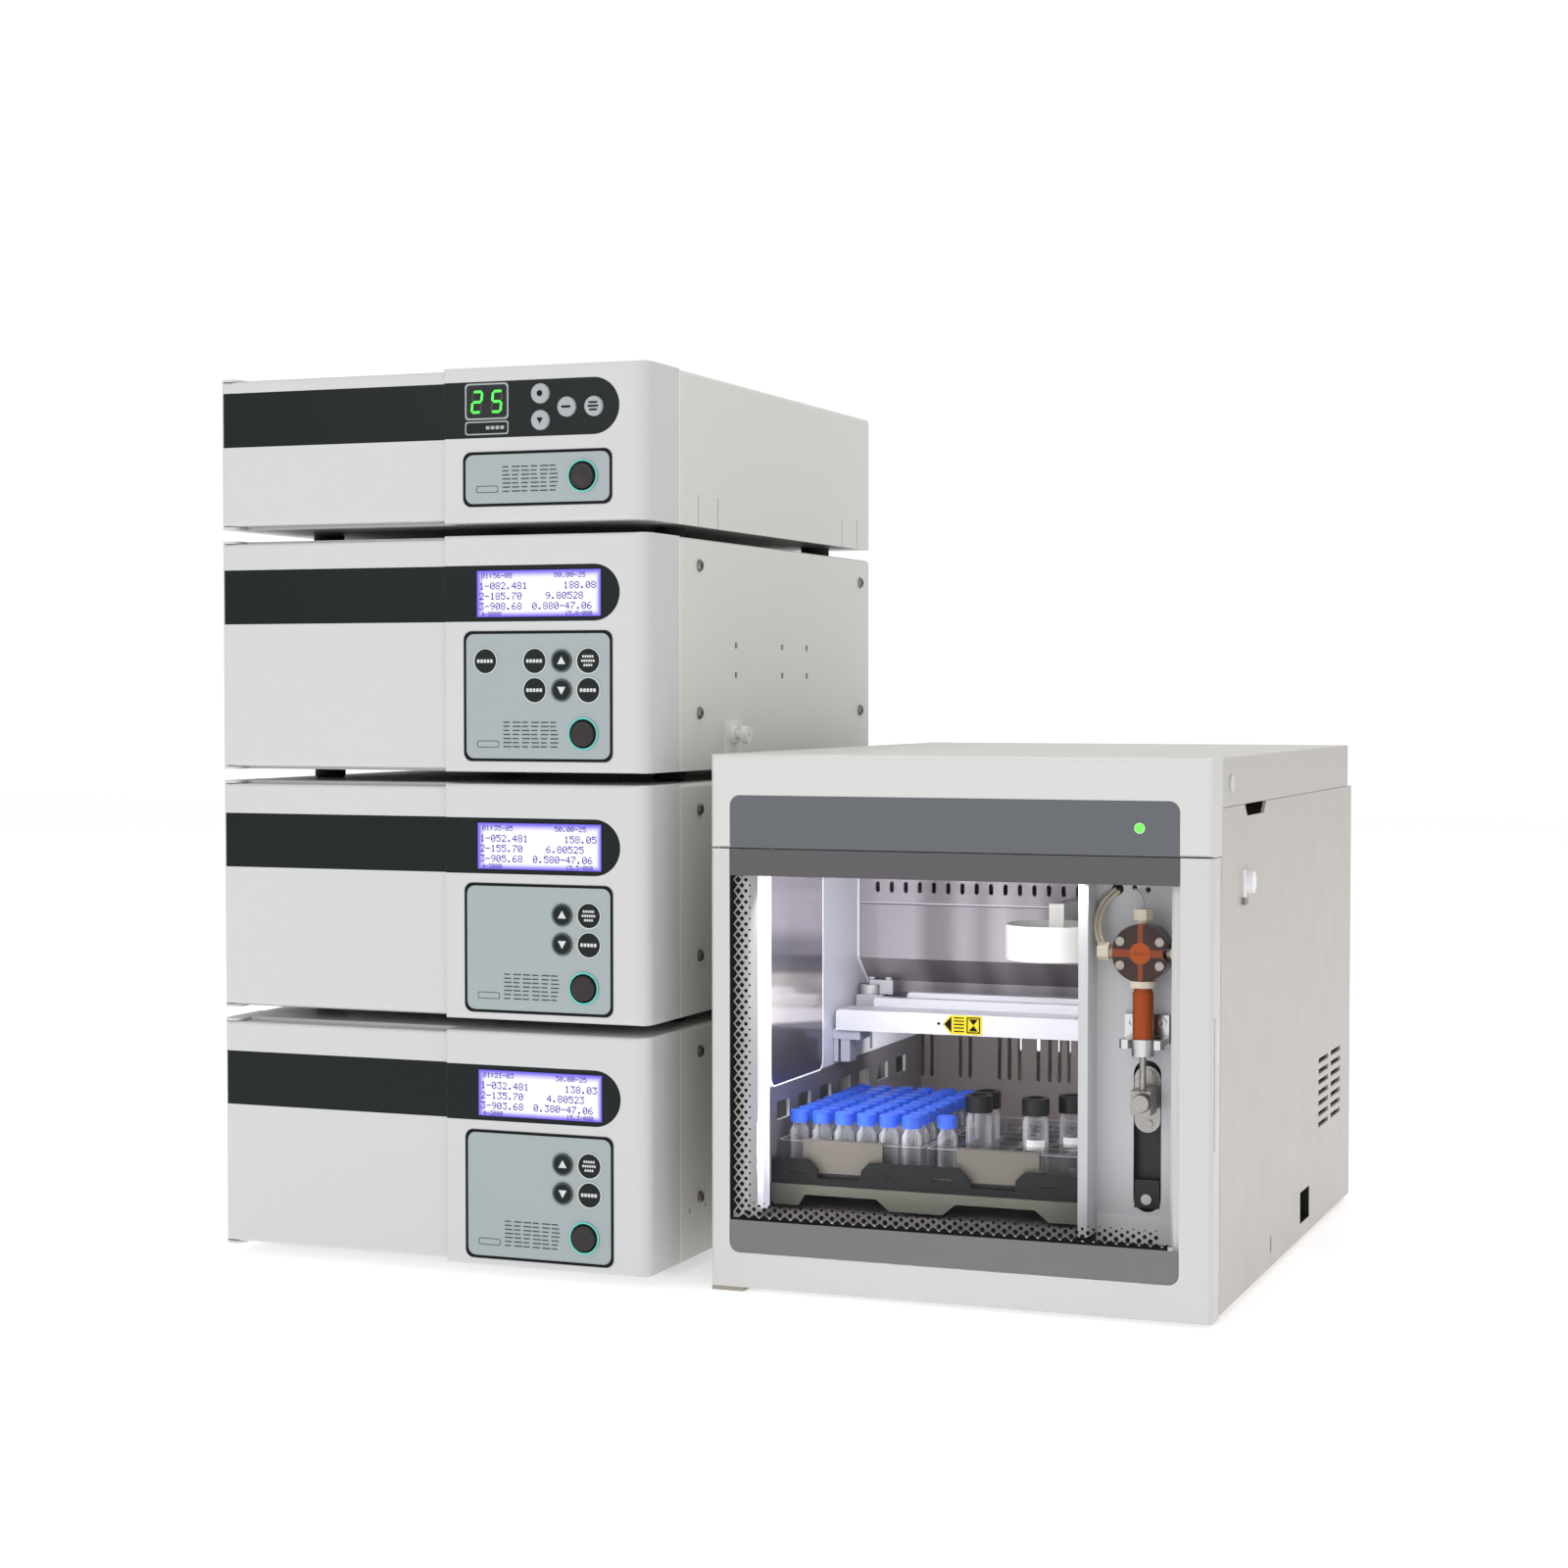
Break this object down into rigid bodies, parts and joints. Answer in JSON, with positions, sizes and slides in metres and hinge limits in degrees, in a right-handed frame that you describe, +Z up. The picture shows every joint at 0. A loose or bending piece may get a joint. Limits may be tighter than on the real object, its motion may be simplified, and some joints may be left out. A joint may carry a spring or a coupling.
{
  "type": "hplc system",
  "caption": "Liquid chromatography system: a stack of pump, detector and column oven modules beside a cooled vial sampler with a glass door.",
  "frame": {"origin": "on the bench, under the middle of the system", "axes": "+X along the fronts from the stack to the sampler, +Y from the fronts to the backs, +Z up"},
  "size_m": [0.6112, 0.4414, 0.529],
  "materials": {
    "case_paint": "fine powder coat",
    "chassis_steel": "zinc plated sheet",
    "front_plastic": "satin moulding",
    "key_plate": "printed overlay",
    "power_button": "smooth",
    "key_plastic": "smooth",
    "display": "lit display",
    "foot_rubber": "matt",
    "screw_steel": "nickel plated",
    "white_plastic": "satin",
    "machined_metal": "machined",
    "stainless": "brushed",
    "dark_plastic": "fine texture",
    "sampler_paint": "fine powder coat",
    "panel_paint": "smooth paint",
    "door_glass": "clear, printed edges",
    "rack_acrylic": "clear acrylic",
    "vial_glass": "clear",
    "blue_cap": "smooth",
    "black_cap": "ribbed",
    "amber_plastic": "translucent amber",
    "orange_plastic": "smooth",
    "beige_plastic": "machined"
  },
  "bodies": {
    "system": {"oven_cover": "case_paint", "detector_cover": "case_paint", "upper_pump_cover": "case_paint", "lower_pump_cover": "case_paint", "oven_chassis": "chassis_steel", "detector_chassis": "chassis_steel", "upper_pump_chassis": "chassis_steel", "lower_pump_chassis": "chassis_steel", "oven_front": "front_plastic", "detector_front": "front_plastic", "upper_pump_front": "front_plastic", "lower_pump_front": "front_plastic", "oven_keypad": "key_plate", "detector_keypad": "key_plate", "upper_pump_keypad": "key_plate", "lower_pump_keypad": "key_plate", "displays": "display", "module_feet": "foot_rubber", "cover_screws": "screw_steel", "drain_fitting": "white_plastic", "column_block": "machined_metal", "flow_cell": "dark_plastic", "upper_pump_head": "machined_metal", "lower_pump_head": "machined_metal", "sampler_case": "sampler_paint", "sampler_lid": "front_plastic", "chamber_liner": "stainless", "gantry_beam": "white_plastic", "wash_dish": "white_plastic", "valve_panel": "panel_paint", "valve_head": "amber_plastic", "syringe_barrel": "orange_plastic", "syringe_clamp": "machined_metal", "tubes_and_fittings": "beige_plastic", "sampler_feet": "beige_plastic"},
    "lower_pump_door_panel": {"lower_pump_door": "front_plastic"},
    "lower_pump_power_key": {"lower_pump_power_button": "power_button"},
    "upper_pump_door_panel": {"upper_pump_door": "front_plastic"},
    "upper_pump_power_key": {"upper_pump_power_button": "power_button"},
    "detector_door_panel": {"detector_door": "front_plastic"},
    "detector_power_key": {"detector_power_button": "power_button"},
    "oven_door_panel": {"oven_door": "front_plastic"},
    "oven_power_key": {"oven_power_button": "power_button"},
    "oven_up_key_cap": {"oven_up_key": "key_plastic"},
    "oven_down_key_cap": {"oven_down_key": "key_plastic"},
    "oven_enter_key_cap": {"oven_enter_key": "key_plastic"},
    "oven_run_key_cap": {"oven_run_key": "key_plastic"},
    "chamber_door": {"sampler_door": "front_plastic", "door_glass": "door_glass"},
    "tray": {"tray_carriage": "stainless", "vial_tray": "dark_plastic", "rack_left": "rack_acrylic", "rack_right": "rack_acrylic", "rack_tags": "stainless", "vials": "vial_glass", "blue_caps": "blue_cap", "black_caps": "black_cap"},
    "needle": {"needle_unit": "machined_metal"},
    "rotor": {"valve_rotor": "orange_plastic"},
    "plunger": {"plunger_carriage": "machined_metal"}
  },
  "joints": [
    {"name": "lower_pump_door_swing", "type": "hinge", "parent": "system", "child": "lower_pump_door_panel", "pos_m": [-0.29785, -0.2083, 0.0755], "axis": [0, 0, -1], "range_deg": [0, 110]},
    {"name": "upper_pump_door_swing", "type": "hinge", "parent": "system", "child": "upper_pump_door_panel", "pos_m": [-0.29785, -0.2083, 0.2195], "axis": [0, 0, -1], "range_deg": [0, 110]},
    {"name": "detector_door_swing", "type": "hinge", "parent": "system", "child": "detector_door_panel", "pos_m": [-0.29785, -0.2083, 0.3635], "axis": [0, 0, -1], "range_deg": [0, 110]},
    {"name": "oven_door_swing", "type": "hinge", "parent": "system", "child": "oven_door_panel", "pos_m": [-0.29785, -0.2083, 0.484], "axis": [0, 0, -1], "range_deg": [0, 110]},
    {"name": "lower_pump_power_press", "type": "slide", "parent": "system", "child": "lower_pump_power_key", "axis": [0, 1, 0], "range_m": [0, 0.0015], "stiffness_N_per_m": 800, "springref_m": -0.0005},
    {"name": "upper_pump_power_press", "type": "slide", "parent": "system", "child": "upper_pump_power_key", "axis": [0, 1, 0], "range_m": [0, 0.0015], "stiffness_N_per_m": 800, "springref_m": -0.0005},
    {"name": "detector_power_press", "type": "slide", "parent": "system", "child": "detector_power_key", "axis": [0, 1, 0], "range_m": [0, 0.0015], "stiffness_N_per_m": 800, "springref_m": -0.0005},
    {"name": "oven_power_press", "type": "slide", "parent": "system", "child": "oven_power_key", "axis": [0, 1, 0], "range_m": [0, 0.0015], "stiffness_N_per_m": 800, "springref_m": -0.0005},
    {"name": "oven_up_press", "type": "slide", "parent": "system", "child": "oven_up_key_cap", "axis": [0, 1, 0], "range_m": [0, 0.001], "stiffness_N_per_m": 600, "springref_m": -0.0005},
    {"name": "oven_down_press", "type": "slide", "parent": "system", "child": "oven_down_key_cap", "axis": [0, 1, 0], "range_m": [0, 0.001], "stiffness_N_per_m": 600, "springref_m": -0.0005},
    {"name": "oven_enter_press", "type": "slide", "parent": "system", "child": "oven_enter_key_cap", "axis": [0, 1, 0], "range_m": [0, 0.001], "stiffness_N_per_m": 600, "springref_m": -0.0005},
    {"name": "oven_run_press", "type": "slide", "parent": "system", "child": "oven_run_key_cap", "axis": [0, 1, 0], "range_m": [0, 0.001], "stiffness_N_per_m": 600, "springref_m": -0.0005},
    {"name": "chamber_door_swing", "type": "hinge", "parent": "system", "child": "chamber_door", "pos_m": [0.01515, -0.1973, 0.128], "axis": [0, 0, -1], "range_deg": [0, 110]},
    {"name": "tray_slide", "type": "slide", "parent": "system", "child": "tray", "axis": [0, 1, 0], "range_m": [0, 0.1]},
    {"name": "needle_slide", "type": "slide", "parent": "system", "child": "needle", "axis": [1, 0, 0], "range_m": [0, 0.15]},
    {"name": "rotor_turn", "type": "hinge", "parent": "system", "child": "rotor", "pos_m": [0.25345, -0.1653, 0.1977], "axis": [0, -1, 0], "range_deg": [-90, 90]},
    {"name": "plunger_slide", "type": "slide", "parent": "system", "child": "plunger", "axis": [0, 0, -1], "range_m": [0, 0.0215]}
  ]
}
